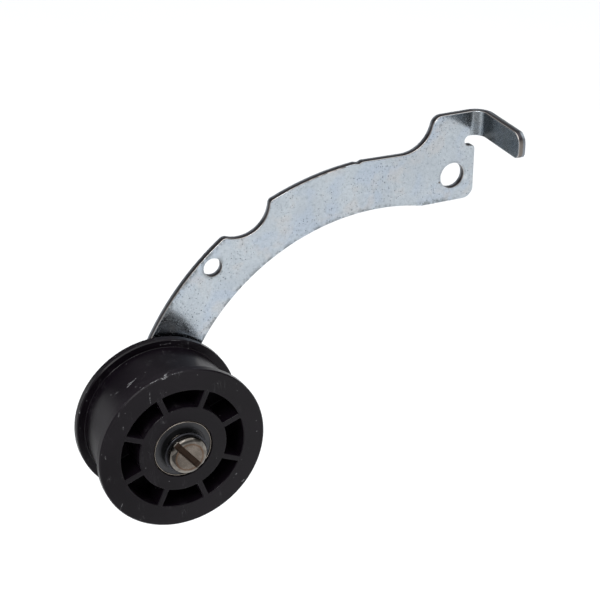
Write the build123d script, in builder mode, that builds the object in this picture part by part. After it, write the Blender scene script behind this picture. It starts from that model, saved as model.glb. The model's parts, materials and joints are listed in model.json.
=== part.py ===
"""Belt tensioner idler: a curved plate lever that carries a flanged belt pulley on two ball bearings.

Frame, in millimetres: the origin is the centre of the lever's pivot bore, at the middle of the
plate. X runs along the lever, away from the pulley, Z is up and the pulley stands out towards -Y.
Places along the pulley's axle are given as a height in front of the lever's front face.
"""
import os
from math import atan2, cos, degrees, hypot, radians, sin, sqrt

from build123d import *

# ---------------------------------------------------------------- driving dimensions (mm)
# lever plate
PLATE = 2.75                            # sheet thickness
PIVOT_BORE_R = 5.05                     # runs on a 10 mm stud
PULLEY_X, PULLEY_Z = -122.5, -71.5      # pulley axle
SPRING_X, SPRING_Z = -97.7, -18.6       # hole for the tension spring's hook
SPRING_HOLE_R = 3.6
BOW_X, BOW_Z = -31.9, -90.7             # centre of the lever's bow
INNER_R, OUTER_R = 82.8, 102.7          # edges of the bowed bar, round that centre
HEEL_X, HEEL_Z = 9.3, -10.15            # right and lower edges of the pivot end
HEEL_CORNER_R, HEEL_BLEND_R = 4.2, 12.0
SCALLOP_X, SCALLOP_Z, SCALLOP_R = -87.05, 2.8, 12.1   # round clearance in the upper edge
APEX_R, SHOULDER_R = 2.5, 2.0           # corners at the scallop's two ends
BACK_MID_X, BACK_MID_Z = -57.4, 8.8     # a point of the gently arched upper edge
NICK = ((-37.9, 11.75), (-39.3, 11.1), (-41.0, 11.5))    # small nick in the upper edge
HORN_TOP = 24.3                         # top edge of the horn that carries the tab
HORN_FLARE_R, HORN_CORNER_R = 12.7, 4.0
HORN_FLARE_X, HORN_FLARE_Z = -21.3, 11.4    # where the upper edge starts to flare into the horn
EDGE_BREAK = 0.3                        # rounded front edges of the stamping

# bent tab
TAB_BOTTOM = 14.8
TAB_REACH = 29.2                        # tab end, in front of the plate
TAB_LEAN = 3.4                          # degrees bent past square
BEND_X, BEND_R = 6.9, 4.0               # where the bend starts, and its inside radius
TAB_TOP_CORNER_R, TAB_LOW_CORNER_R = 4.0, 2.8
RELIEF_X, RELIEF_R = 6.8, 1.95          # round-ended bend relief under the tab
RELIEF_LIP_R = 1.6

# pulley wheel
FLANGE_R, DRUM_R = 31.0, 28.0
PULLEY_BACK, PULLEY_FACE = 1.5, 29.3    # heights of the wheel's two faces
FLANGE_T = 3.2
POCKET_OUTER_R, POCKET_INNER_R = 23.1, 16.5
RIBS, RIB_T, RIB_PHASE = 8, 2.1, 20.4   # radial ribs, and the first rib's angle from +X
WEB_T = 3.0                             # disc half way along the wheel
HUB_LAND_R = 9.0                        # shoulder between the two bearing seats
RIM_CHAMFER, SEAT_CHAMFER = 0.4, 0.2

# ball bearings, size 608
BEARING_OD, BEARING_BORE, BEARING_W = 22.0, 8.0, 7.0
BEARING_INSET = 0.3                     # front bearing, behind the wheel's front face
BALLS, BALL_D, PITCH_R = 7, 3.969, 7.5
GROOVE_R = 2.04                         # raceway groove
OUTER_LAND_R, INNER_LAND_R = 9.1, 5.9
SEAL_SEAT_R, SEAL_SEAT_DEPTH = 10.45, 0.75
SEAL_T, SEAL_INNER_R = 0.45, 6.1
SEAL_STEP_R, SEAL_STEP = 8.6, 0.15      # the seal is dished inwards inside this radius
CAGE_INNER_R, CAGE_OUTER_R, CAGE_FRONT, CAGE_BACK = 6.7, 8.3, 2.5, 0.6
POCKET_BALL_R = 2.06                    # the cage's ball pockets
RACE_CHAMFER = 0.4

# axle screw and what is clamped on it
SHANK_R = 3.95
HEAD_R, HEAD_T, HEAD_ROUND_R = 7.15, 2.9, 1.7
SLOT_W, SLOT_DEPTH, SLOT_ANGLE = 2.4, 1.7, -51.5
SCREW_TAIL = 12.75                      # screw end, behind the lever's front face
TAIL_CHAMFER = 0.9
COLLAR_R, COLLAR_BORE_R = 5.9, 4.05
FRONT_COLLAR_T, REAR_COLLAR_T = 2.2, 2.0
SLEEVE_R = 5.5
HEAD_WASHER_R, HEAD_WASHER_T, WASHER_ROUND_R = 7.9, 1.2, 0.3
LOCK_WASHER_R, LOCK_WASHER_T, LOCK_GAP = 7.2, 2.0, 0.9
NUT_AF, NUT_T, NUT_CHAMFER_DEG = 13.0, 6.5, 30.0
SCREW_HOLE_R = 4.2                      # hole in the lever for the screw
CUT_MARGIN = 1.0                        # cuts run this far past the faces they open
NEAR = 0.01                             # how close a measured place or radius has to be

# ---------------------------------------------------------------- derived places
FRONT = PLATE / 2                       # the plate's front face is at Y = -FRONT
TAB_HEIGHT = HORN_TOP - TAB_BOTTOM
TAB_LENGTH = (TAB_REACH - BEND_R * (1 + sin(radians(TAB_LEAN)))) / cos(radians(TAB_LEAN))
RELIEF_Z = TAB_BOTTOM - RELIEF_R
FRONT_BEARING = PULLEY_FACE - BEARING_INSET - BEARING_W   # height of each bearing's back face
REAR_BEARING = REAR_COLLAR_T
WHEEL_MIDDLE = (PULLEY_BACK + PULLEY_FACE) / 2
COLLAR_TOP = FRONT_BEARING + BEARING_W + FRONT_COLLAR_T
HEAD_BASE = COLLAR_TOP + HEAD_WASHER_T
HEAD_TOP = HEAD_BASE + HEAD_T

AXLE_FOOT = (PULLEY_X, -FRONT, PULLEY_Z)
AXLE = Axis(AXLE_FOOT, (0, -1, 0))
# profiles of turned pieces: local x is the radius, local y the height in front of the lever
TURNING = Plane(origin=AXLE_FOOT, x_dir=(1, 0, 0), z_dir=(0, 0, -1))


def across(height):
    """A plane square to the pulley's axle, centred on it, at a height in front of the lever."""
    return Plane(origin=(PULLEY_X, -FRONT - height, PULLEY_Z), x_dir=(1, 0, 0), z_dir=(0, -1, 0))


def save(part, name):
    """Label a finished piece and write its STEP file."""
    part.label = name
    export_step(part, f"parts/{name}.step")


def ring(inner, outer, low, high):
    """A washer or tube round the axle, as a part."""
    with BuildPart() as turned:
        with BuildSketch(across(low)):
            Circle(outer)
            Circle(inner, mode=Mode.SUBTRACT)
        extrude(amount=high - low)
    return turned.part


def circular_edges(piece, radius):
    """The circular edges of one radius on the piece that is being made."""
    circles = piece.edges().filter_by(GeomType.CIRCLE)
    return circles.filter_by(lambda edge: abs(edge.radius - radius) < NEAR)


def on_bow(radius, angle):
    """A point (x, z) of a circle round the bow's centre; the angle is counted from +X towards +Z."""
    return (BOW_X + radius * cos(radians(angle)), BOW_Z + radius * sin(radians(angle)))


def bow_angle(x, z):
    """The angle, in degrees, at which a point lies round the bow's centre."""
    return degrees(atan2(z - BOW_Z, x - BOW_X))


os.makedirs("parts", exist_ok=True)

# ---------------------------------------------------------------- lever
pulley_angle = bow_angle(PULLEY_X, PULLEY_Z)

# where the bar's outer edge meets the scallop, and its inner edge the heel's lower edge
gap = hypot(SCALLOP_X - BOW_X, SCALLOP_Z - BOW_Z)
along = (OUTER_R ** 2 - SCALLOP_R ** 2 + gap ** 2) / (2 * gap)
apex_angle = bow_angle(SCALLOP_X, SCALLOP_Z) + degrees(atan2(sqrt(OUTER_R ** 2 - along ** 2), along))
apex = on_bow(OUTER_R, apex_angle)
scallop_turn = degrees(atan2(apex[1] - SCALLOP_Z, apex[0] - SCALLOP_X))
shoulder = (SCALLOP_X + SCALLOP_R, SCALLOP_Z)
heel_angle = degrees(atan2(HEEL_Z - BOW_Z, sqrt(INNER_R ** 2 - (HEEL_Z - BOW_Z) ** 2)))
heel_start = on_bow(INNER_R, heel_angle)

# the flare up into the horn is one arc, and the horn's corner a second that meets it smoothly
flare_z, corner_z = HORN_FLARE_Z + HORN_FLARE_R, HORN_TOP - HORN_CORNER_R
corner_x = HORN_FLARE_X + sqrt((HORN_FLARE_R + HORN_CORNER_R) ** 2 - (corner_z - flare_z) ** 2)
flare_turn = degrees(atan2(corner_z - flare_z, corner_x - HORN_FLARE_X))

# the bend's centre in plan, and where the flat tab starts on its inner face
bend_centre = (BEND_X, -FRONT - BEND_R)
tab_outwards = (cos(radians(TAB_LEAN)), -sin(radians(TAB_LEAN)), 0)
tab_foot = (BEND_X + BEND_R * tab_outwards[0], -FRONT - BEND_R + BEND_R * tab_outwards[1], TAB_BOTTOM)

with BuildPart() as lever_arm:
    # the flat stamping, up to the line where the tab starts to bend
    with BuildSketch(Plane.XZ.offset(-FRONT)) as blank:
        with BuildLine():
            CenterArc((BOW_X, BOW_Z), INNER_R, heel_angle, pulley_angle - heel_angle)
            Polyline(heel_start, (HEEL_X, HEEL_Z), (HEEL_X, RELIEF_Z - RELIEF_R),
                     (RELIEF_X, RELIEF_Z - RELIEF_R))
            CenterArc((RELIEF_X, RELIEF_Z), RELIEF_R, 90, 180)
            Polyline((RELIEF_X, TAB_BOTTOM), (BEND_X, TAB_BOTTOM), (BEND_X, HORN_TOP),
                     (corner_x, HORN_TOP))
            CenterArc((corner_x, corner_z), HORN_CORNER_R, 90, 90 + flare_turn)
            CenterArc((HORN_FLARE_X, flare_z), HORN_FLARE_R, -90, 90 + flare_turn)
            Polyline((HORN_FLARE_X, HORN_FLARE_Z), *NICK)
            ThreePointArc(NICK[-1], (BACK_MID_X, BACK_MID_Z), shoulder)
            CenterArc((SCALLOP_X, SCALLOP_Z), SCALLOP_R, 0, scallop_turn)
            CenterArc((BOW_X, BOW_Z), OUTER_R, apex_angle, pulley_angle - apex_angle)
            CenterArc(on_bow((INNER_R + OUTER_R) / 2, pulley_angle), (OUTER_R - INNER_R) / 2,
                      pulley_angle, 180)
        make_face()
        for corner, radius in (((HEEL_X, HEEL_Z), HEEL_CORNER_R), (heel_start, HEEL_BLEND_R),
                               ((HEEL_X, RELIEF_Z - RELIEF_R), RELIEF_LIP_R),
                               (apex, APEX_R), (shoulder, SHOULDER_R)):
            fillet(blank.vertices().sort_by_distance(corner)[0], radius)
    extrude(amount=PLATE)
    # the bend, in plan
    with BuildSketch(Plane.XY.offset(TAB_BOTTOM)):
        with BuildLine():
            inner = CenterArc(bend_centre, BEND_R, 90, -90 - TAB_LEAN)
            outer = CenterArc(bend_centre, BEND_R + PLATE, 90, -90 - TAB_LEAN)
            Line(inner @ 0, outer @ 0)
            Line(inner @ 1, outer @ 1)
        make_face()
    extrude(amount=TAB_HEIGHT)
    # the flat tab: local x is up and local y runs along it, from its inner face outwards
    with BuildSketch(Plane(origin=tab_foot, x_dir=(0, 0, 1), z_dir=tab_outwards)) as tab:
        with Locations((TAB_HEIGHT / 2, TAB_LENGTH / 2)):
            Rectangle(TAB_HEIGHT, TAB_LENGTH)
        for corner, radius in (((TAB_HEIGHT, TAB_LENGTH), TAB_TOP_CORNER_R),
                               ((0, TAB_LENGTH), TAB_LOW_CORNER_R)):
            fillet(tab.vertices().sort_by_distance(corner)[0], radius)
    extrude(amount=PLATE)
    # punched holes: pivot, spring hook and axle screw
    for x, z, radius in ((0, 0, PIVOT_BORE_R), (SPRING_X, SPRING_Z, SPRING_HOLE_R),
                         (PULLEY_X, PULLEY_Z, SCREW_HOLE_R)):
        with BuildSketch(Plane.XZ.offset(-FRONT)):
            with Locations((x, z)):
                Circle(radius)
        extrude(amount=PLATE, mode=Mode.SUBTRACT)
    # the stamping's front edges are slightly rounded, round the outline and along the tab
    flats = lever_arm.faces().filter_by(Plane.XZ)
    front_face = flats.filter_by_position(Axis.Y, -FRONT - NEAR, -FRONT + NEAR)[0]
    outline = front_face.outer_wire().edges()
    fillet(outline.filter_by(lambda edge: abs(edge.center().X - BEND_X) > NEAR), EDGE_BREAK)
save(lever_arm.part, "lever_arm")

# ---------------------------------------------------------------- pulley wheel
with BuildPart() as pulley_wheel:
    # the turned outline: two flanges, the belt drum between them, and the stepped hub bore
    front_seat, rear_seat = FRONT_BEARING, REAR_BEARING + BEARING_W
    with BuildSketch(TURNING):
        with BuildLine():
            Polyline((BEARING_OD / 2, PULLEY_BACK), (FLANGE_R, PULLEY_BACK),
                     (FLANGE_R, PULLEY_BACK + FLANGE_T), (DRUM_R, PULLEY_BACK + FLANGE_T),
                     (DRUM_R, PULLEY_FACE - FLANGE_T), (FLANGE_R, PULLEY_FACE - FLANGE_T),
                     (FLANGE_R, PULLEY_FACE), (BEARING_OD / 2, PULLEY_FACE),
                     (BEARING_OD / 2, front_seat), (HUB_LAND_R, front_seat),
                     (HUB_LAND_R, rear_seat), (BEARING_OD / 2, rear_seat), close=True)
        make_face()
    revolve(axis=AXLE)
    chamfer(circular_edges(pulley_wheel, FLANGE_R), RIM_CHAMFER)
    # pockets from both faces, down to the web half way along
    for low, high in ((WHEEL_MIDDLE + WEB_T / 2, PULLEY_FACE), (PULLEY_BACK, WHEEL_MIDDLE - WEB_T / 2)):
        with BuildSketch(across(low)):
            Circle(POCKET_OUTER_R)
            Circle(POCKET_INNER_R, mode=Mode.SUBTRACT)
            rib_reach = POCKET_OUTER_R - POCKET_INNER_R + 2 * CUT_MARGIN
            rib_middle = (POCKET_OUTER_R + POCKET_INNER_R) / 2
            with PolarLocations(rib_middle, RIBS, start_angle=RIB_PHASE):
                Rectangle(rib_reach, RIB_T, mode=Mode.SUBTRACT)
        extrude(amount=high - low, mode=Mode.SUBTRACT)
    seat_circles = circular_edges(pulley_wheel, BEARING_OD / 2).sort_by(Axis.Y)
    chamfer([seat_circles[0], seat_circles[-1]], SEAT_CHAMFER)
save(pulley_wheel.part, "pulley_wheel")

# ---------------------------------------------------------------- ball bearings
for end, back in (("front", FRONT_BEARING), ("rear", REAR_BEARING)):
    face, middle = back + BEARING_W, back + BEARING_W / 2

    with BuildPart() as outer_race:
        with BuildSketch(TURNING) as profile:
            with BuildLine():
                Polyline((BEARING_OD / 2, back), (BEARING_OD / 2, face), (SEAL_SEAT_R, face),
                         (SEAL_SEAT_R, face - SEAL_SEAT_DEPTH),
                         (OUTER_LAND_R, face - SEAL_SEAT_DEPTH),
                         (OUTER_LAND_R, back + SEAL_SEAT_DEPTH),
                         (SEAL_SEAT_R, back + SEAL_SEAT_DEPTH), (SEAL_SEAT_R, back), close=True)
            make_face()
            with Locations((PITCH_R, middle)):
                Circle(GROOVE_R, mode=Mode.SUBTRACT)
            rims = [profile.vertices().sort_by_distance((BEARING_OD / 2, y))[0] for y in (back, face)]
            chamfer(rims, RACE_CHAMFER)
        revolve(axis=AXLE)
    save(outer_race.part, f"{end}_outer_race")

    with BuildPart() as inner_race:
        with BuildSketch(TURNING) as profile:
            with Locations(((BEARING_BORE / 2 + INNER_LAND_R) / 2, middle)):
                Rectangle(INNER_LAND_R - BEARING_BORE / 2, BEARING_W)
            chamfer(profile.vertices(), RACE_CHAMFER)
            with Locations((PITCH_R, middle)):
                Circle(GROOVE_R, mode=Mode.SUBTRACT)
        revolve(axis=AXLE)
    save(inner_race.part, f"{end}_inner_race")

    with BuildPart() as balls:
        with Locations(across(middle)):
            with PolarLocations(PITCH_R, BALLS):
                Sphere(BALL_D / 2)
    save(balls.part, f"{end}_balls")

    with BuildPart() as cage:
        with BuildSketch(across(middle - CAGE_BACK)):
            Circle(CAGE_OUTER_R)
            Circle(CAGE_INNER_R, mode=Mode.SUBTRACT)
        extrude(amount=CAGE_BACK + CAGE_FRONT)
        with Locations(across(middle)):
            with PolarLocations(PITCH_R, BALLS):
                Sphere(POCKET_BALL_R, mode=Mode.SUBTRACT)
    save(cage.part, f"{end}_cage")

    # a dished rubber seal in the seat at each side of the bearing
    for side, seat, outwards in (("outside" if end == "front" else "inside", face, 1),
                                 ("inside" if end == "front" else "outside", back, -1)):
        foot = seat - outwards * SEAL_SEAT_DEPTH
        dish = foot - outwards * SEAL_STEP
        with BuildPart() as seal:
            with BuildSketch(TURNING):
                with BuildLine():
                    Polyline((SEAL_SEAT_R, foot), (SEAL_STEP_R, foot),
                             (SEAL_STEP_R - SEAL_STEP, dish), (SEAL_INNER_R, dish),
                             (SEAL_INNER_R, dish + outwards * SEAL_T),
                             (SEAL_STEP_R - SEAL_STEP, dish + outwards * SEAL_T),
                             (SEAL_STEP_R, foot + outwards * SEAL_T),
                             (SEAL_SEAT_R, foot + outwards * SEAL_T), close=True)
                make_face()
            revolve(axis=AXLE)
        save(seal.part, f"{end}_{side}_seal")

# ---------------------------------------------------------------- clamped stack on the axle screw
save(ring(COLLAR_BORE_R, COLLAR_R, 0, REAR_COLLAR_T), "rear_collar")
save(ring(COLLAR_BORE_R, SLEEVE_R, REAR_BEARING + BEARING_W, FRONT_BEARING), "spacer_sleeve")
save(ring(COLLAR_BORE_R, COLLAR_R, COLLAR_TOP - FRONT_COLLAR_T, COLLAR_TOP), "front_collar")

with BuildPart() as head_washer:
    add(ring(COLLAR_BORE_R, HEAD_WASHER_R, COLLAR_TOP, HEAD_BASE))
    fillet(circular_edges(head_washer, HEAD_WASHER_R), WASHER_ROUND_R)
save(head_washer.part, "head_washer")

with BuildPart() as axle_screw:
    with BuildSketch(TURNING) as profile:
        with BuildLine():
            Polyline((0, -SCREW_TAIL), (SHANK_R, -SCREW_TAIL), (SHANK_R, HEAD_BASE),
                     (HEAD_R, HEAD_BASE), (HEAD_R, HEAD_TOP), (0, HEAD_TOP), close=True)
        make_face()
        fillet(profile.vertices().sort_by_distance((HEAD_R, HEAD_TOP))[0], HEAD_ROUND_R)
        chamfer(profile.vertices().sort_by_distance((SHANK_R, -SCREW_TAIL))[0], TAIL_CHAMFER)
    revolve(axis=AXLE)
    with BuildSketch(across(HEAD_TOP - SLOT_DEPTH)):
        Rectangle(2 * HEAD_R + CUT_MARGIN, SLOT_W, rotation=SLOT_ANGLE)
    extrude(amount=SLOT_DEPTH + CUT_MARGIN, mode=Mode.SUBTRACT)
save(axle_screw.part, "axle_screw")

with BuildPart() as lock_washer:
    add(ring(COLLAR_BORE_R, LOCK_WASHER_R, -PLATE - LOCK_WASHER_T, -PLATE))
    with BuildSketch(across(-PLATE - LOCK_WASHER_T)):
        with PolarLocations(LOCK_WASHER_R, 1, start_angle=90):
            Rectangle(LOCK_WASHER_R + CUT_MARGIN, LOCK_GAP)
    extrude(amount=LOCK_WASHER_T, mode=Mode.SUBTRACT)
save(lock_washer.part, "lock_washer")

with BuildPart() as hex_nut:
    nut_front = -PLATE - LOCK_WASHER_T
    with BuildSketch(across(nut_front - NUT_T)):
        RegularPolygon(NUT_AF / 2, side_count=6, major_radius=False)
        Circle(COLLAR_BORE_R, mode=Mode.SUBTRACT)
    extrude(amount=NUT_T)
    # the corners are turned off at 30 degrees at both faces
    corner_r = NUT_AF / sqrt(3)
    cut_height = (corner_r - NUT_AF / 2) * sin(radians(NUT_CHAMFER_DEG)) / cos(radians(NUT_CHAMFER_DEG))
    with BuildSketch(TURNING):
        with BuildLine():
            Polyline((0, nut_front - NUT_T), (NUT_AF / 2, nut_front - NUT_T),
                     (corner_r, nut_front - NUT_T + cut_height), (corner_r, nut_front - cut_height),
                     (NUT_AF / 2, nut_front), (0, nut_front), close=True)
        make_face()
    revolve(axis=AXLE, mode=Mode.INTERSECT)
save(hex_nut.part, "hex_nut")
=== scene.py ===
"""Belt tensioner idler: looks, floor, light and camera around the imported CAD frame.

Everything is in metres in the CAD frame: X along the lever away from the pulley, Z up, and the
pulley stands out towards -Y.
"""
import json
import math

import bmesh
import bpy
from mathutils import Matrix, Vector


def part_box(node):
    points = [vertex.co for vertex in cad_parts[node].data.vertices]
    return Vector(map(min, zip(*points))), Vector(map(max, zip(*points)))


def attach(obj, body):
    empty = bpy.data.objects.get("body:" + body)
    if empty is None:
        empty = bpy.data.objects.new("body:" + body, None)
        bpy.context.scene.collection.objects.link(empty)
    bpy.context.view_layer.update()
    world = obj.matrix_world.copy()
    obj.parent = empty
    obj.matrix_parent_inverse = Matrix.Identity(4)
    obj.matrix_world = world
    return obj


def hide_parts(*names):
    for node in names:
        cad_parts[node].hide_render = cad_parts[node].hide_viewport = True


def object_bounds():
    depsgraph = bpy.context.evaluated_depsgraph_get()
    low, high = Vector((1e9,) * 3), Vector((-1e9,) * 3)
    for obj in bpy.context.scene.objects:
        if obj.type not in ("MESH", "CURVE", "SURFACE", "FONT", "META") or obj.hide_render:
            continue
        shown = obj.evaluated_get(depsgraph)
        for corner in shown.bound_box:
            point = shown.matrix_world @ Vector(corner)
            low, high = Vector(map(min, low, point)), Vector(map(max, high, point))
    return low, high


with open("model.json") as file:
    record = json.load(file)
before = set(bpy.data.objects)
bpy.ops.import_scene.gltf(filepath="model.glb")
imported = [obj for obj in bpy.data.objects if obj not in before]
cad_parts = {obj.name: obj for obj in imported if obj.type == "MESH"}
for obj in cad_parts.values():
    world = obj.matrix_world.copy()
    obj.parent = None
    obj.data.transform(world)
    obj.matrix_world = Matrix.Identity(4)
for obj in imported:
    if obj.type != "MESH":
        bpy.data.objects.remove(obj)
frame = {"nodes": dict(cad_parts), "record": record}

cad_low, cad_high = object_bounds()
NODES = frame["nodes"]
MM = 0.001

# ---------------------------------------------------------------- places, from the CAD
lever_low, lever_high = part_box("lever_arm")
wheel_low, wheel_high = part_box("pulley_wheel")
screw_low, screw_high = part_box("axle_screw")
AXLE = (wheel_low + wheel_high) / 2
AXLE_X, AXLE_Z = AXLE.x, AXLE.z
HEAD_R = (screw_high.x - screw_low.x) / 2
HEAD_RING_R = 0.7 * HEAD_R

# the screw: the head's height and its rim's rounding (inwards, along the axle), the shank, the
# thread, and the driver slot
HEAD_T, HEAD_ROUND = 2.9 * MM, (2.1 * MM, 1.8 * MM)
SHANK_R, PITCH, THREAD_DEPTH = 4.0 * MM, 1.25 * MM, 0.65 * MM
SLOT_W, SLOT_DEPTH, SLOT_TURN = 2.4 * MM, 1.7 * MM, math.radians(-51.5)

# the radii between which the painted shade under the washer ends on the seals
SEAL_SHADE_R = 7.8 * MM, 8.4 * MM

# the lever's bow, holes, sheet and bend
MOUNTS = {mount["name"]: mount for mount in frame["record"]["mounts"]}
PIVOT, SPRING = Vector(MOUNTS["pivot_bore"]["pos_m"]), Vector(MOUNTS["spring_hole"]["pos_m"])
PIVOT_R = MOUNTS["pivot_bore"]["dims"]["r_mm"] * MM
SPRING_R = MOUNTS["spring_hole"]["dims"]["r_mm"] * MM
PLATE = MOUNTS["pivot_bore"]["dims"]["length_mm"] * MM
BOW = Vector((-31.9, 0.0, -90.7)) * MM
BOW_INNER, BOW_OUTER = 82.8 * MM, 102.7 * MM
BEND_X, BEND_R, TAB_LEAN = 6.9 * MM, 4.0 * MM, math.radians(3.4)
TAB_END = -PLATE / 2 - lever_low.y

# ---------------------------------------------------------------- camera
AIM = Vector((-0.0726, -0.0210, -0.0280))
CAMERA_DISTANCE = 0.56
CAMERA_BACK = Vector((-0.3838, -0.8091, 0.4450))
SENSOR_MM, LENS_MM = 36.0, 94.36

camera_data = bpy.data.cameras.new("camera")
camera_data.sensor_width, camera_data.lens = SENSOR_MM, LENS_MM
camera_data.clip_start, camera_data.clip_end = 0.01, 20.0
camera = bpy.data.objects.new("camera", camera_data)
bpy.context.scene.collection.objects.link(camera)
camera.location = AIM + CAMERA_BACK.normalized() * CAMERA_DISTANCE
camera.rotation_euler = CAMERA_BACK.to_track_quat("Z", "Y").to_euler()
bpy.context.scene.camera = camera
bpy.context.scene.view_settings.view_transform = "Standard"
bpy.context.scene.view_settings.look = "None"


# ---------------------------------------------------------------- node helpers
def new_material(name):
    """An empty material, its node tree and the place on the object that it colours."""
    material = bpy.data.materials.new(name)
    material.use_nodes = True
    tree = material.node_tree
    tree.nodes.clear()
    return material, tree, add(tree, "TexCoord").outputs["Object"]


def add(tree, kind, inputs=(), **settings):
    """A shader node; inputs is a dict of socket name or number to a value or an output socket."""
    made = tree.nodes.new("ShaderNode" + kind)
    for key, value in settings.items():
        setattr(made, key, value)
    for key, value in dict(inputs).items():
        if isinstance(value, bpy.types.NodeSocket):
            tree.links.new(value, made.inputs[key])
        else:
            made.inputs[key].default_value = value
    return made


def math_node(tree, operation, a, b=0.0, clamp=False):
    return add(tree, "Math", {0: a, 1: b}, operation=operation, use_clamp=clamp).outputs[0]


def times(tree, a, b):
    return math_node(tree, "MULTIPLY", a, b)


def plus(tree, a, b):
    return math_node(tree, "ADD", a, b)


def most(tree, first, *others):
    """The greatest of some values."""
    for other in others:
        first = math_node(tree, "MAXIMUM", first, other)
    return first


def vector_node(tree, operation, a, b):
    """Vector arithmetic; DISTANCE and DOT_PRODUCT give a number, and SCALE takes one."""
    second = "Scale" if operation == "SCALE" else 1
    result = "Value" if operation in ("DISTANCE", "DOT_PRODUCT") else "Vector"
    return add(tree, "VectorMath", {0: a, second: b}, operation=operation).outputs[result]


def ramp(tree, factor, low, high, out_low=0.0, out_high=1.0):
    """A smooth step of factor from out_low to out_high."""
    return add(tree, "MapRange", {"Value": factor, "From Min": low, "From Max": high,
                                  "To Min": out_low, "To Max": out_high},
               interpolation_type="SMOOTHSTEP").outputs[0]


def fade(tree, factor, low, high, strength=1.0):
    """Strength up to low, falling smoothly to 0 at high."""
    return ramp(tree, factor, low, high, strength, 0.0)


def mix(tree, factor, a, b):
    """A blend of two colours."""
    return add(tree, "Mix", {0: factor, 6: a, 7: b}, data_type="RGBA").outputs[2]


def blend(tree, factor, a, b):
    """A blend of two numbers."""
    return add(tree, "Mix", {0: factor, 2: a, 3: b}, data_type="FLOAT").outputs[0]


def noise(tree, place, scale, detail=2.0, roughness=0.5, distortion=0.0):
    return add(tree, "TexNoise", {"Vector": place, "Scale": scale, "Detail": detail,
                                  "Roughness": roughness, "Distortion": distortion}).outputs[0]


def colour(r, g, b):
    """An RGBA value from 0-255 display values."""
    def linear(v):
        v /= 255
        return v / 12.92 if v <= 0.04045 else ((v + 0.055) / 1.055) ** 2.4
    return (linear(r), linear(g), linear(b), 1.0)


def shaken(tree, place, scale, reach, detail=2.0):
    """The place, moved about by noise, by up to half of reach each way."""
    wobble = add(tree, "TexNoise", {"Vector": place, "Scale": scale, "Detail": detail}).outputs[1]
    offset = vector_node(tree, "SUBTRACT", wobble, (0.5, 0.5, 0.5))
    return vector_node(tree, "ADD", place, vector_node(tree, "SCALE", offset, reach))


def near(tree, place, centre, radius, soft):
    """1 within radius of a point, falling to 0 over soft."""
    distance = vector_node(tree, "DISTANCE", place, tuple(centre))
    return fade(tree, distance, radius, radius + soft)


def round_distance(tree, place, centre, radius):
    """How far a point is from a circle round a centre, in the lever's plane."""
    flat = vector_node(tree, "MULTIPLY", place, (1.0, 0.0, 1.0))
    reach = vector_node(tree, "DISTANCE", flat, (centre.x, 0.0, centre.z))
    return math_node(tree, "ABSOLUTE", math_node(tree, "SUBTRACT", reach, radius))


def scratch(tree, place, start, end, width):
    """1 along the straight line between two points, falling to 0 at half its width."""
    run = end - start
    from_start = vector_node(tree, "SUBTRACT", place, tuple(start))
    along = vector_node(tree, "DOT_PRODUCT", from_start, tuple(run))
    along = math_node(tree, "MULTIPLY", along, 1 / run.length_squared, clamp=True)
    nearest = vector_node(tree, "SCALE", tuple(run), along)
    return fade(tree, vector_node(tree, "DISTANCE", from_start, nearest), 0.15 * width, 0.5 * width)


def specks(tree, place, scale, smallest, largest, seed=0.0):
    """Dots scattered in space; smallest and largest are their radii in cells of the scatter."""
    moved = vector_node(tree, "ADD", place, (seed, 0.5 * seed, 0.0))
    moved = shaken(tree, moved, 2.2 * scale, 0.45 / scale, 1.0)
    cells = add(tree, "TexVoronoi", {"Vector": moved, "Scale": scale, "Randomness": 1.0})
    size = add(tree, "SeparateColor", {0: cells.outputs["Color"]}).outputs[0]
    size = ramp(tree, size, 0.0, 1.0, smallest, largest)
    return fade(tree, math_node(tree, "DIVIDE", cells.outputs["Distance"], size), 0.55, 1.15)


def finish_surface(tree, base, metallic, roughness, bump=None, specular=0.5,
                   bump_distance=0.01 * MM, bump_strength=0.2):
    """Puts the surface together; bump is a height between 0 and 1, times bump_distance."""
    shader = add(tree, "BsdfPrincipled", {"Base Color": base, "Metallic": metallic,
                                          "Roughness": roughness, "Specular IOR Level": specular})
    if bump is not None:
        normal = add(tree, "Bump", {"Height": bump, "Distance": bump_distance,
                                    "Strength": bump_strength})
        tree.links.new(normal.outputs[0], shader.inputs["Normal"])
    out = add(tree, "OutputMaterial")
    tree.links.new(shader.outputs[0], out.inputs[0])


# ---------------------------------------------------------------- materials
# marks on the lever's front face, and a painted highlight on a flattened burr at the horn's corner
# (the two near-white rows): (x, z) and radius in mm, strength, colour
MARKS_AND_HIGHLIGHTS = (
    ((-5.45, -1.9), 0.38, 0.95, (82, 68, 58)),
    ((-5.9, 20.9), 0.60, 0.50, (112, 116, 112)),
    # painted highlight: the two near-white spots where the horn's corner rounds over
    ((-7.6, 23.1), 0.50, 0.75, (236, 240, 242)),
    ((-8.2, 22.4), 0.40, 0.75, (236, 240, 242)),
    ((6.0, -1.5), 0.9, 0.35, (214, 220, 224)),
)

# where dirt gathers on the lever: along the bow's edges and round the holes. Each row has the
# circle's centre and radius, the dirt's reach from it in mm, its strength, and the mm in X
# between which it ends (None for all round)
DIRTY_RIMS = (
    (BOW, BOW_INNER, (0.2, 2.0), 1.0, (-30, -20)),
    (BOW, BOW_OUTER, (0.2, 2.0), 1.0, (-88, -80)),
    (PIVOT, PIVOT_R, (0.1, 1.2), 0.55, None),
    (SPRING, SPRING_R, (0.1, 1.4), 0.8, None),
)

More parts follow.
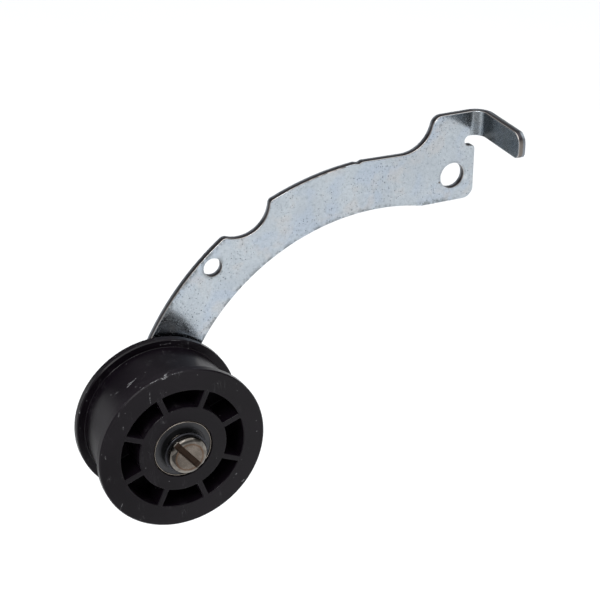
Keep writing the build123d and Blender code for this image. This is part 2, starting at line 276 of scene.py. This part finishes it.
# the plating's colours, as 0-255 display values
ZINC_DULL, ZINC_CLEAN, ZINC_BRIGHT = (173, 180, 187), (183, 190, 196), (196, 203, 208)
ZINC_BLUE, ZINC_WARM = (170, 181, 196), (185, 182, 181)
ZINC_MOTTLE, ZINC_BLOTCH, ZINC_PIT = (138, 148, 154), (140, 149, 155), (84, 94, 98)
ZINC_GRIME, ZINC_CRAZED, ZINC_FOOT = (112, 116, 116), (116, 124, 128), (52, 57, 60)
BURNISHED = (56, 54, 58), (76, 72, 74)
BURNISHED_TAB_END = (104, 98, 94), (132, 126, 120)
TORN = (112, 116, 122), (146, 152, 158)
# painted highlight: the pale line along the rounded front edge of the cut
ROLL_OVER_HIGHLIGHT = (176, 169, 164)


def dirty_rims(tree, place, x, z):
    """1 where dirt gathers along the lever's edges, falling to 0 on its open face."""
    rims = []
    for centre, radius, reach, strength, ends in DIRTY_RIMS:
        rim = fade(tree, round_distance(tree, place, centre, radius),
                   reach[0] * MM, reach[1] * MM, strength)
        if ends is not None:
            rim = times(tree, rim, fade(tree, x, ends[0] * MM, ends[1] * MM))
        rims.append(rim)
    heel = times(tree, ramp(tree, x, -30 * MM, -20 * MM), fade(tree, x, -2 * MM, 4 * MM))
    rims.append(times(tree, fade(tree, z, -9.8 * MM, -7.6 * MM), heel))
    return most(tree, *rims)


def sheared_edge(tree, place, depth, ahead):
    """A sheared edge: a thin painted highlight along the rolled-over front edge, a dark burnished
    band, then a paler torn one.
    """
    grain = noise(tree, place, 500.0, 3.0, 0.6)
    burnished, tab_end, torn = (
        mix(tree, grain, colour(*dark), colour(*light))
        for dark, light in (BURNISHED, BURNISHED_TAB_END, TORN))
    on_end = ramp(tree, ahead, TAB_END - 0.8 * MM, TAB_END - 0.3 * MM)
    burnished = mix(tree, on_end, burnished, tab_end)
    band = plus(tree, depth, times(tree, grain, 0.16))
    sheared = mix(tree, ramp(tree, band, 0.66, 0.82), burnished, torn)
    # the front of the cut, down to about a tenth to a sixth of the sheet, takes the painted
    # highlight colour
    return mix(tree, fade(tree, depth, 0.10, 0.16), sheared, colour(*ROLL_OVER_HIGHLIGHT))


def zinc_plate():
    """Zinc plated sheet: pale blue-grey, bright and finely pitted, with dark sheared edges.

    The piece's own attributes say which faces are sheared (cut) and how deep a point lies in the
    sheet's thickness, from its front or inner face (depth).
    """
    material, tree, place = new_material("zinc_plate")
    cut = add(tree, "Attribute", attribute_name="cut").outputs["Fac"]
    depth = add(tree, "Attribute", attribute_name="depth").outputs["Fac"]
    x, y, z = add(tree, "SeparateXYZ", {0: place}).outputs
    ahead = math_node(tree, "SUBTRACT", -PLATE / 2, y)

    mottle = noise(tree, place, 2200.0, 3.0, 0.65)
    blotch = noise(tree, place, 800.0, 3.0, 0.6, 0.4)
    cloud = noise(tree, place, 55.0, 3.0, 0.55)
    blue = noise(tree, place, 75.0, 2.0, 0.5, 0.5)
    warm = noise(tree, place, 110.0, 3.0, 0.55, 0.3)
    smudge = noise(tree, place, 420.0, 4.0, 0.7, 0.6)
    dirt = dirty_rims(tree, place, x, z)
    crowding = ramp(tree, noise(tree, place, 90.0, 2.0, 0.6), 0.36, 0.66, 0.25, 1.0)
    pits = most(tree, specks(tree, place, 1150.0, 0.05, 0.40),
                specks(tree, place, 560.0, 0.0, 0.19, 0.31))
    pits = times(tree, pits, most(tree, crowding, dirt))
    grime = times(tree, dirt, ramp(tree, smudge, 0.42, 0.58, 0.0, 0.70))

    face = mix(tree, ramp(tree, cloud, 0.35, 0.65), colour(*ZINC_DULL), colour(*ZINC_CLEAN))
    for amount, tone in (
            (ramp(tree, blue, 0.47, 0.64, 0.0, 0.65), ZINC_BLUE),
            (ramp(tree, warm, 0.50, 0.66, 0.0, 0.5), ZINC_WARM),
            (fade(tree, mottle, 0.28, 0.55, 0.50), ZINC_MOTTLE),
            (fade(tree, blotch, 0.30, 0.50, 0.42), ZINC_BLOTCH),
            (ramp(tree, blotch, 0.54, 0.72, 0.0, 0.35), ZINC_BRIGHT),
            (times(tree, pits, ramp(tree, dirt, 0.0, 1.0, 0.50, 0.85)), ZINC_PIT),
            (grime, ZINC_GRIME)):
        face = mix(tree, amount, face, colour(*tone))
    for (mark_x, mark_z), radius, strength, tone in MARKS_AND_HIGHLIGHTS:
        centre = Vector((mark_x * MM, -PLATE / 2, mark_z * MM))
        mark = near(tree, place, centre, 0.5 * radius * MM, radius * MM)
        face = mix(tree, times(tree, mark, strength), face, colour(*tone))

    # inside the bend the plating is crazed and duller, and darkest where the bend runs into the tab
    in_bend = times(tree, ramp(tree, x, BEND_X - 0.4 * MM, BEND_X + 0.2 * MM),
                    ramp(tree, z, 12.0 * MM, 13.0 * MM))
    face = mix(tree, times(tree, in_bend, 0.42), face, colour(*ZINC_CRAZED))
    foot = times(tree, ramp(tree, ahead, 1.8 * MM, 4.2 * MM),
                 fade(tree, ahead, 6.0 * MM, 14.0 * MM))
    face = mix(tree, times(tree, times(tree, foot, in_bend), 0.8), face, colour(*ZINC_FOOT))
    base = mix(tree, cut, face, sheared_edge(tree, place, depth, ahead))

    rough_face = ramp(tree, cloud, 0.3, 0.7, 0.13, 0.18)
    for extra in (times(tree, pits, 0.25), ramp(tree, mottle, 0.45, 0.70, 0.0, 0.10),
                  times(tree, grime, 0.25), times(tree, in_bend, 0.08)):
        rough_face = plus(tree, rough_face, extra)
    height = plus(tree, times(tree, mottle, 0.5), times(tree, pits, -0.8))
    finish_surface(tree, base, 1.0, blend(tree, cut, rough_face, 0.42), height,
                   bump_distance=0.02 * MM, bump_strength=0.5)
    return material


def on_wheel(angle, radius, height):
    """A point of the wheel from its angle in degrees, its radius and its height, both in mm."""
    turn = math.radians(angle)
    return Vector((AXLE_X + radius * MM * math.cos(turn), -PLATE / 2 - height * MM,
                   AXLE_Z + radius * MM * math.sin(turn)))


# scuffs and scratches on the wheel: two ends as (angle, radius, height), width in mm, strength
SCUFFS = (
    ((114.3, 28.0, 29.3), (118.4, 24.0, 29.3), 0.35, 0.55),
    ((121.0, 30.95, 29.1), (115.5, 30.95, 29.1), 0.30, 0.8),
    ((111.0, 30.95, 29.1), (105.0, 30.9, 29.1), 0.32, 0.8),
    ((103.2, 30.6, 29.25), (100.0, 30.3, 29.25), 0.95, 1.0),
    ((101.0, 30.9, 29.1), (99.0, 30.5, 29.2), 0.80, 0.9),
    ((100.0, 31.0, 28.6), (98.5, 31.0, 28.0), 1.00, 0.8),
    ((95.5, 30.7, 29.1), (89.0, 30.7, 29.1), 0.35, 0.5),
    ((124.0, 28.0, 18.4), (115.8, 28.0, 17.4), 0.70, 0.85),
    ((122.8, 28.0, 17.3), (117.5, 28.0, 17.8), 0.55, 0.7),
    ((134.8, 28.0, 15.8), (130.5, 28.0, 16.7), 0.35, 0.35),
    ((-142.8, 30.7, 29.3), (-145.3, 28.6, 29.3), 0.40, 0.75),
    ((-38.2, 25.4, 29.3), (-38.9, 25.2, 29.3), 0.80, 0.6),
    ((-40.0, 29.8, 29.3), (-41.5, 29.5, 29.3), 0.80, 0.65),
    ((138.0, 30.6, 29.2), (140.5, 29.8, 29.3), 0.60, 0.45),
    ((146.0, 26.0, 29.3), (148.0, 25.5, 29.3), 0.50, 0.4),
    ((171.0, 28.9, 29.3), (173.0, 28.7, 29.3), 0.55, 0.4),
    ((17.0, 30.8, 29.2), (13.5, 30.9, 29.2), 0.45, 0.5),
    ((86.0, 29.2, 4.7), (79.0, 29.5, 4.7), 0.70, 0.45),
    ((78.0, 30.6, 4.7), (70.0, 30.9, 4.7), 0.40, 0.6),
    ((66.4, 31.0, 4.6), (63.6, 28.1, 4.7), 0.30, 0.6),
    ((162.0, 31.0, 4.4), (163.4, 30.9, 4.7), 0.80, 0.8),
    ((148.0, 31.0, 4.4), (142.5, 31.0, 4.5), 0.30, 0.45),
    ((86.0, 28.0, 6.9), (87.5, 28.0, 10.8), 0.25, 0.35),
)


def black_nylon():
    """Moulded black nylon, satin, with a slightly warm tint, handling scuffs and pale scratches."""
    material, tree, place = new_material("black_nylon")
    grain = noise(tree, place, 1500.0, 3.0, 0.6)
    cloud = noise(tree, place, 60.0, 2.0, 0.5)
    breakup = noise(tree, place, 1900.0, 4.0, 0.75)
    ragged = shaken(tree, place, 700.0, 0.35 * MM)
    scuffed = most(tree, *(
        times(tree, scratch(tree, ragged, on_wheel(*start), on_wheel(*end), width * MM), strength)
        for start, end, width, strength in SCUFFS))
    scuffed = times(tree, scuffed, ramp(tree, breakup, 0.42, 0.62))

    # fine hair scratches all over, thin lines where a stretched noise crosses its middle
    hairs = []
    for turn, tilt in ((0.5, 0.2), (1.2, 0.9), (2.3, 1.7), (2.9, 0.5)):
        stretched = add(tree, "Mapping", {"Vector": place, "Rotation": (tilt, turn, 0.3),
                                          "Scale": (1.0, 1.0, 0.12)}).outputs[0]
        line = math_node(tree, "SUBTRACT", noise(tree, stretched, 520.0, 1.0, 0.4), 0.5)
        hairs.append(fade(tree, math_node(tree, "ABSOLUTE", line), 0.0, 0.004))
    patches = ramp(tree, noise(tree, place, 190.0, 2.0), 0.56, 0.72, 0.0, 0.22)
    hair = times(tree, most(tree, *hairs), patches)
    dust = times(tree, specks(tree, place, 330.0, 0.0, 0.09, 0.7), 0.35)

    base = mix(tree, ramp(tree, cloud, 0.35, 0.7), colour(11, 7, 12), colour(16, 11, 17))
    pale = most(tree, scuffed, hair, dust)
    base = mix(tree, pale, base, colour(150, 150, 152))
    rounded = add(tree, "Attribute", attribute_name="rounded").outputs["Fac"]
    rough = ramp(tree, cloud, 0.3, 0.7, 0.28, 0.36)
    rough = plus(tree, rough, times(tree, rounded, -0.18))
    rough = plus(tree, rough, times(tree, pale, 0.3))
    height = plus(tree, grain, times(tree, scuffed, -2.5))
    finish_surface(tree, base, 0.0, rough, height, specular=0.17, bump_strength=0.4)
    return material


def seal_rubber():
    """Black nitrile rubber, a little lighter than the wheel, with painted shade at its inner edge
    where the washer shades it.
    """
    material, tree, place = new_material("seal_rubber")
    grain = noise(tree, place, 1200.0, 2.0, 0.5)
    base = mix(tree, grain, colour(38, 38, 41), colour(49, 49, 52))
    # painted shade: near black inside these radii, for the shadow cast under the washer
    washer_shade = fade(tree, round_distance(tree, place, AXLE, 0.0), *SEAL_SHADE_R)
    base = mix(tree, washer_shade, base, colour(5, 5, 6))
    finish_surface(tree, base, 0.0, ramp(tree, grain, 0.3, 0.7, 0.36, 0.44), grain, specular=0.4)
    return material


def plain_metal(name, low, high, roughness):
    """A metal with a fine grain between two colours."""
    material, tree, place = new_material(name)
    grain = noise(tree, place, 400.0, 3.0, 0.6)
    base = mix(tree, grain, colour(*low), colour(*high))
    rough = ramp(tree, grain, 0.3, 0.7, roughness - 0.05, roughness + 0.05)
    finish_surface(tree, base, 1.0, rough, grain)
    return material


def screw_steel():
    """Polished steel gone brown: a stained ring on the head, and painted shade down in the slot."""
    material, tree, place = new_material("screw_steel")
    grain = noise(tree, place, 900.0, 4.0, 0.65)
    cloud = noise(tree, place, 260.0, 3.0, 0.6, 0.4)
    out = round_distance(tree, place, AXLE, 0.0)
    down = math_node(tree, "SUBTRACT", add(tree, "SeparateXYZ", {0: place}).outputs[1], screw_low.y)
    past_head = HEAD_T, HEAD_T + 1 * MM  # from the head's underside on to the shank
    base = mix(tree, ramp(tree, cloud, 0.35, 0.65), colour(98, 91, 84), colour(122, 114, 106))
    base = mix(tree, fade(tree, grain, 0.30, 0.55, 0.5), base, colour(80, 71, 64))
    off_ring = round_distance(tree, place, AXLE, HEAD_RING_R)
    off_ring = plus(tree, off_ring, times(tree, grain, 0.5 * MM))
    stain = fade(tree, off_ring, 0.25 * MM, 0.85 * MM, 0.62)
    base = mix(tree, stain, base, colour(92, 66, 47))
    # painted shade: below the head's face inside its rim, the slot goes dark brown for the shade
    # down in the recess
    slot_shade = times(tree, ramp(tree, down, 0.35 * MM, 1.3 * MM),
                    fade(tree, out, HEAD_R - 0.6 * MM, HEAD_R - 0.1 * MM))
    slot_shade = times(tree, slot_shade, fade(tree, down, *past_head))
    slot_shade_colour = mix(tree, grain, colour(36, 28, 24), colour(74, 60, 50))
    base = mix(tree, slot_shade, base, slot_shade_colour)
    # the head's rounded rim and the threaded tail are still bright
    worn = most(tree, ramp(tree, out, 0.72 * HEAD_R, 0.82 * HEAD_R), ramp(tree, down, *past_head))
    worn = times(tree, worn, math_node(tree, "SUBTRACT", 1.0, slot_shade))
    bright = mix(tree, ramp(tree, cloud, 0.40, 0.6), colour(98, 94, 89), colour(124, 119, 113))
    base = mix(tree, worn, base, bright)
    rough = ramp(tree, grain, 0.3, 0.7, 0.16, 0.26)
    for mask, extra in ((slot_shade, 0.35), (stain, 0.2), (worn, -0.11)):
        rough = plus(tree, rough, times(tree, mask, extra))
    finish_surface(tree, base, 1.0, rough, grain, bump_strength=0.3)
    return material


MATERIALS = {
    "zinc_plate": zinc_plate(),
    "black_nylon": black_nylon(),
    "screw_steel": screw_steel(),
    "washer_steel": plain_metal("washer_steel", (52, 52, 56), (70, 70, 74), 0.3),
    "turned_steel": plain_metal("turned_steel", (120, 120, 122), (150, 150, 152), 0.3),
    "spring_steel": plain_metal("spring_steel", (50, 50, 54), (72, 72, 76), 0.4),
    "zinc_fastener": plain_metal("zinc_fastener", (140, 146, 150), (172, 178, 182), 0.35),
    "bearing_steel": plain_metal("bearing_steel", (150, 140, 130), (178, 169, 159), 0.14),
    "ball_steel": plain_metal("ball_steel", (190, 190, 190), (205, 205, 205), 0.1),
    "seal_rubber": seal_rubber(),
    "cage_nylon": plain_metal("cage_nylon", (60, 56, 50), (72, 66, 60), 0.5),
}
SLOT_OF = {part["node"]: part["material_slot"] for part in frame["record"]["subparts"]}
BODY_OF = {node: body for body, nodes in frame["record"]["behaviour"]["bodies"].items()
           for node in nodes}
for node, slot in SLOT_OF.items():
    NODES[node].data.materials.clear()
    NODES[node].data.materials.append(MATERIALS[slot])


# ---------------------------------------------------------------- pieces
# angles between faces: where shading breaks, and which edges are rounded off
SHARP, SQUARE, LIP_EDGE = math.radians(30), math.radians(50), math.radians(15)
# how far edges are rounded off
WHEEL_EDGE, WASHER_EDGE, FINE_EDGE, SCREW_EDGE = 0.3 * MM, 0.15 * MM, 0.08 * MM, 0.03 * MM
# vertices nearer than WELD are joined, and a face of the lever is a sheared one if its normal's
# dot product with the sheet's is under SHEARED
WELD, SHEARED = 0.002 * MM, 0.6
# points round the screw and nut, rows along the thread and over the head's rim
AROUND, THREAD_ROWS, RIM_ROWS = 96, 28, 12


def new_piece(name, work, *nodes):
    """Turns a bmesh into a piece for CAD nodes, with the first one's body and material."""
    mesh = bpy.data.meshes.new(name)
    work.to_mesh(mesh)
    work.free()
    mesh.materials.append(MATERIALS[SLOT_OF[nodes[0]]])
    piece = bpy.data.objects.new(name, mesh)
    bpy.context.scene.collection.objects.link(piece)
    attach(piece, BODY_OF[nodes[0]])
    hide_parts(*nodes)
    return piece


def welded(node):
    """A bmesh of a CAD node's mesh, with its vertices joined and its flat faces whole."""
    work = bmesh.new()
    work.from_mesh(NODES[node].data)
    bmesh.ops.remove_doubles(work, verts=work.verts, dist=WELD)
    bmesh.ops.dissolve_limit(work, angle_limit=math.radians(0.5), verts=work.verts,
                             edges=work.edges)
    return work


def shade_smooth(piece):
    """Smooth shading with one material, broken at the sharp edges."""
    for polygon in piece.data.polygons:
        polygon.use_smooth = True
        polygon.material_index = 0
    piece.data.set_sharp_from_angle(angle=SHARP)


def soften(piece, width, segments=2, hard=SHARP, limit="ANGLE"):
    """Smooth shading, with edges harder than an angle, or the weighted ones, rounded off."""
    shade_smooth(piece)
    rounding = piece.modifiers.new("rounded_edges", "BEVEL")
    rounding.width, rounding.segments = width, segments
    rounding.limit_method, rounding.angle_limit = limit, hard
    rounding.use_clamp_overlap = False
    rounding.harden_normals = True


def level_faces(piece):
    """Smooth shading that keeps large faces flat."""
    shade_smooth(piece)
    level = piece.modifiers.new("level_faces", "WEIGHTED_NORMAL")
    level.mode, level.weight, level.keep_sharp = "FACE_AREA", 100, True


def sheet_at(point):
    """The sheet's outward normal at a point of the lever, and the point's depth below its face."""
    front = -PLATE / 2
    bend = Vector((BEND_X, front - BEND_R, 0))
    away = Vector((point.x - bend.x, point.y - bend.y, 0))
    tab_way = Vector((math.cos(TAB_LEAN), -math.sin(TAB_LEAN), 0))
    if point.x < BEND_X or away.y > away.length * math.cos(0.01):
        return Vector((0, 1, 0)), (point.y - front) / PLATE
    if away.normalized().y > tab_way.y:
        return away.normalized(), (away.length - BEND_R) / PLATE
    return tab_way, (away.dot(tab_way) - BEND_R) / PLATE


def make_lever():
    """The stamped lever: marks its sheared faces and its depth, for the plating material."""
    work = welded("lever_arm")
    depth = work.verts.layers.float.new("depth")
    cut = work.faces.layers.float.new("cut")
    for vert in work.verts:
        vert[depth] = sheet_at(vert.co)[1]
    for face in work.faces:
        normal = sheet_at(face.calc_center_median())[0]
        face[cut] = float(abs(face.normal.dot(normal)) < SHEARED)
    level_faces(new_piece("lever", work, "lever_arm"))


def make_wheel():
    """The moulded wheel, with its square edges rounded, and marked as smoother for its material."""
    work = welded("pulley_wheel")
    polished = work.faces.layers.float.new("rounded")
    square = [edge for edge in work.edges if edge.calc_face_angle(0.0) > SQUARE]
    rounded = bmesh.ops.bevel(work, geom=square, offset=WHEEL_EDGE, offset_type="OFFSET",
                              segments=3, profile=0.5, affect="EDGES", clamp_overlap=False)
    for face in rounded["faces"]:
        face[polished] = 1.0
    level_faces(new_piece("wheel", work, "pulley_wheel"))


def carve(work, cutter):
    """One bmesh cut exactly out of another."""
    made = []
    for name, part in (("carve_from", work), ("carve_with", cutter)):
        mesh = bpy.data.meshes.new(name)
        part.to_mesh(mesh)
        part.free()
        made.append(bpy.data.objects.new(name, mesh))
        bpy.context.scene.collection.objects.link(made[-1])
    cut = made[0].modifiers.new("cut", "BOOLEAN")
    cut.operation, cut.solver, cut.object = "DIFFERENCE", "EXACT", made[1]
    seen = made[0].evaluated_get(bpy.context.evaluated_depsgraph_get())
    result = bmesh.new()
    result.from_mesh(seen.to_mesh())
    seen.to_mesh_clear()
    for item in made:
        bpy.data.objects.remove(item)
    bmesh.ops.remove_doubles(result, verts=result.verts, dist=WELD / 2)
    return result


def plain(radius, y):
    """A round shape for ring."""
    return lambda part: (radius, y)


def ring(work, shape, first=0.0):
    """A ring of vertices round the axle; shape gives the radius and the Y at a part of a turn."""
    verts = []
    for step in range(AROUND):
        radius, y = shape(step / AROUND)
        turn = first + 2 * math.pi * step / AROUND
        verts.append(work.verts.new((AXLE_X + radius * math.cos(turn), y,
                                     AXLE_Z + radius * math.sin(turn))))
    return verts


def skin(work, rings):
    """Faces from each ring to the next."""
    for low, high in zip(rings, rings[1:]):
        for step in range(AROUND):
            beside = (step + 1) % AROUND
            work.faces.new((low[step], high[step], high[beside], low[beside]))


def head_profile():
    """The head from its flat face over its rounded rim to its underside, as (radius, Y)."""
    profile = [(0.45 * HEAD_R, screw_low.y)]
    for step in range(RIM_ROWS + 1):
        turn = math.pi / 2 * step / RIM_ROWS
        profile.append((HEAD_R - HEAD_ROUND[0] * (1 - math.sin(turn)),
                        screw_low.y + HEAD_ROUND[1] * (1 - math.cos(turn))))
    return profile + [(HEAD_R, screw_low.y + HEAD_T)]


def make_screw():
    """The screw: a slotted head with a rounded rim, a plain shank and a thread behind the nut."""
    under_head, stop = screw_low.y + HEAD_T, screw_high.y - 0.005 * MM
    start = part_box("hex_nut")[1].y - 0.4 * MM
    shank_r, tip_r = SHANK_R - 0.02 * MM, SHANK_R - 0.75 * MM

    def threaded(y):
        def shape(part):
            # straight flanks between flat crests and roots, and a 45 degree chamfer at the tip
            phase = (y / PITCH + part) % 1.0
            depth = THREAD_DEPTH * min(1.0, max(0.0, 1.45 * abs(2 * phase - 1) - 0.15))
            return min(shank_r - depth, tip_r + (stop - y)), y
        return shape

    work = bmesh.new()
    profile = head_profile() + [(shank_r, under_head), (shank_r, start - 0.2 * MM)]
    rings = [ring(work, plain(*point)) for point in profile]
    rings += [ring(work, threaded(start + (stop - start) * row / THREAD_ROWS))
              for row in range(THREAD_ROWS + 1)]
    skin(work, rings)
    work.faces.new(rings[0])
    work.faces.new(rings[-1][::-1])
    bmesh.ops.recalc_face_normals(work, faces=work.faces)
    slot = bmesh.new()
    bmesh.ops.create_cube(slot, size=1.0)
    bmesh.ops.scale(slot, vec=(3 * HEAD_R, 2 * SLOT_DEPTH, SLOT_W), verts=slot.verts)
    bmesh.ops.rotate(slot, verts=slot.verts, matrix=Matrix.Rotation(-SLOT_TURN, 3, "Y"))
    bmesh.ops.translate(slot, vec=(AXLE_X, screw_low.y, AXLE_Z), verts=slot.verts)
    work = carve(work, slot)
    weight = work.edges.layers.float.new("bevel_weight_edge")
    for edge in work.edges:
        on_head = max(vert.co.y for vert in edge.verts) < under_head + 0.1 * MM
        edge[weight] = float(on_head and edge.calc_face_angle(0.0) > SQUARE)
    return new_piece("screw", work, "axle_screw")


def make_nut():
    """The hexagon nut: domed by its two end chamfers, with a countersunk bore."""
    low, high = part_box("hex_nut")
    corner_r, first = max((math.hypot(vert.co.x - AXLE_X, vert.co.z - AXLE_Z),
                           math.atan2(vert.co.z - AXLE_Z, vert.co.x - AXLE_X))
                          for vert in NODES["hex_nut"].data.vertices)
    flat_r = corner_r * math.cos(math.pi / 6)
    face_r, bore_r, sink_r = flat_r - 0.15 * MM, SHANK_R + 0.05 * MM, SHANK_R + 0.45 * MM
    sink = 0.4 * MM

    def chamfered(y, inwards):
        def shape(part):
            hexagon = flat_r / math.cos(2 * math.pi * part % (math.pi / 3) - math.pi / 6)
            radius = min(hexagon, corner_r - 0.06 * MM)
            return radius, y + inwards * (radius - face_r) * math.tan(math.radians(30))
        return shape

    work = bmesh.new()
    rings = [ring(work, shape, first) for shape in (
        plain(bore_r, low.y + sink), plain(sink_r, low.y), plain(face_r, low.y),
        chamfered(low.y, 1), chamfered(high.y, -1),
        plain(face_r, high.y), plain(sink_r, high.y), plain(bore_r, high.y - sink))]
    skin(work, rings + rings[:1])
    bmesh.ops.recalc_face_normals(work, faces=work.faces)
    return new_piece("nut", work, "hex_nut")


make_lever()
make_wheel()
soften(make_screw(), SCREW_EDGE, 1, limit="WEIGHT")
soften(make_nut(), FINE_EDGE)
soften(new_piece("split_washer", welded("lock_washer"), "lock_washer"), WASHER_EDGE)
for end in ("front", "rear"):
    race = end + "_outer_race"
    soften(new_piece(end + "_bearing_ring", welded(race), race), FINE_EDGE, hard=SQUARE)
    for side in ("outside", "inside"):
        seal = end + "_" + side + "_seal"
        soften(new_piece(seal + "_lip", welded(seal), seal), FINE_EDGE, hard=LIP_EDGE)

# ---------------------------------------------------------------- floor and light
FLOOR_DROP, FLOOR_HALF = 0.20, 12.0
FLOOR_GREYS = 0.90, 0.93
CARD_LIFT = 0.002

# grey cards on the floor that only reflections see: the material, place, half sizes and greys.
# The one in front darkens what the tab mirrors, the one behind what the drum's left side does
CARDS = {
    "grey_card": ("card_paper", (-0.62, -0.72), (0.60, 0.42), (0.20, 0.24)),
    "grey_card_behind": ("dim_paper", (-0.62, 0.62), (0.45, 0.60), (0.48, 0.52)),
}

# softboxes: the way to them from the aim point, their width and power
LIGHT_DISTANCE = 1.5
LIGHTS = {
    "key_left": (Vector((-0.59, -0.36, 0.72)), 0.45, 9),
    "key_top": (Vector((-0.15, -0.33, 0.93)), 0.35, 3),
}

# the studio round it all: the brightness near the floor, of the walls and of the ceiling
HORIZON, WALLS_AHEAD, WALLS_BEHIND, CEILING = 1.05, 0.36, 0.10, 1.84
STUDIO_TINT = (0.97, 0.985, 1.0, 1.0)


def stage_sheet(name, place, half_x, half_y, cells, material):
    """A level sheet of the studio, not part of the object."""
    mesh = bpy.data.meshes.new(name)
    work = bmesh.new()
    bmesh.ops.create_grid(work, x_segments=cells, y_segments=cells, size=1.0)
    bmesh.ops.scale(work, vec=(half_x, half_y, 1.0), verts=work.verts)
    work.to_mesh(mesh)
    work.free()
    sheet = bpy.data.objects.new(name, mesh)
    sheet.location = place
    bpy.context.scene.collection.objects.link(sheet)
    mesh.materials.append(material)
    return sheet


def paper(name, low, high):
    """Matt paper between two greys."""
    material, tree, place = new_material(name)
    weave = noise(tree, place, 3.0, 2.0)
    greys = mix(tree, weave, (low, low, low, 1), (high, high, high, 1))
    finish_surface(tree, greys, 0.0, 0.9, specular=0.0)
    return material


def softbox(name, place, target, size, power):
    """A square lamp that faces a point."""
    light = bpy.data.lights.new(name, "AREA")
    light.shape, light.size, light.energy = "SQUARE", size, power
    lamp = bpy.data.objects.new(name, light)
    lamp.location = place
    lamp.rotation_euler = (place - target).to_track_quat("Z", "Y").to_euler()
    bpy.context.scene.collection.objects.link(lamp)


floor_z = cad_low.z - FLOOR_DROP
stage_sheet("floor", (0, 0, floor_z), FLOOR_HALF, FLOOR_HALF, 24,
            paper("floor_paper", *FLOOR_GREYS))
for name, (paper_name, (card_x, card_y), half_sizes, greys) in CARDS.items():
    card = stage_sheet(name, (card_x, card_y, floor_z + CARD_LIFT), *half_sizes, 4,
                       paper(paper_name, *greys))
    card.visible_camera = card.visible_shadow = card.visible_diffuse = False
for name, (way, size, power) in LIGHTS.items():
    softbox(name, AIM + way * LIGHT_DISTANCE, AIM, size, power)

world = bpy.data.worlds.new("studio")
bpy.context.scene.world = world
world.use_nodes = True
tree = world.node_tree
tree.nodes.clear()
way_seen = add(tree, "TexCoord").outputs["Generated"]
along, up = add(tree, "SeparateXYZ", {0: way_seen}).outputs[1:]
walls = ramp(tree, along, -0.60, -0.15, WALLS_AHEAD, WALLS_BEHIND)
level = blend(tree, ramp(tree, up, 0.10, 0.24), HORIZON, walls)
level = blend(tree, ramp(tree, up, 0.62, 0.80), level, CEILING)
background = add(tree, "Background", {0: STUDIO_TINT, 1: level})
world_out = add(tree, "OutputWorld")
tree.links.new(background.outputs[0], world_out.inputs[0])
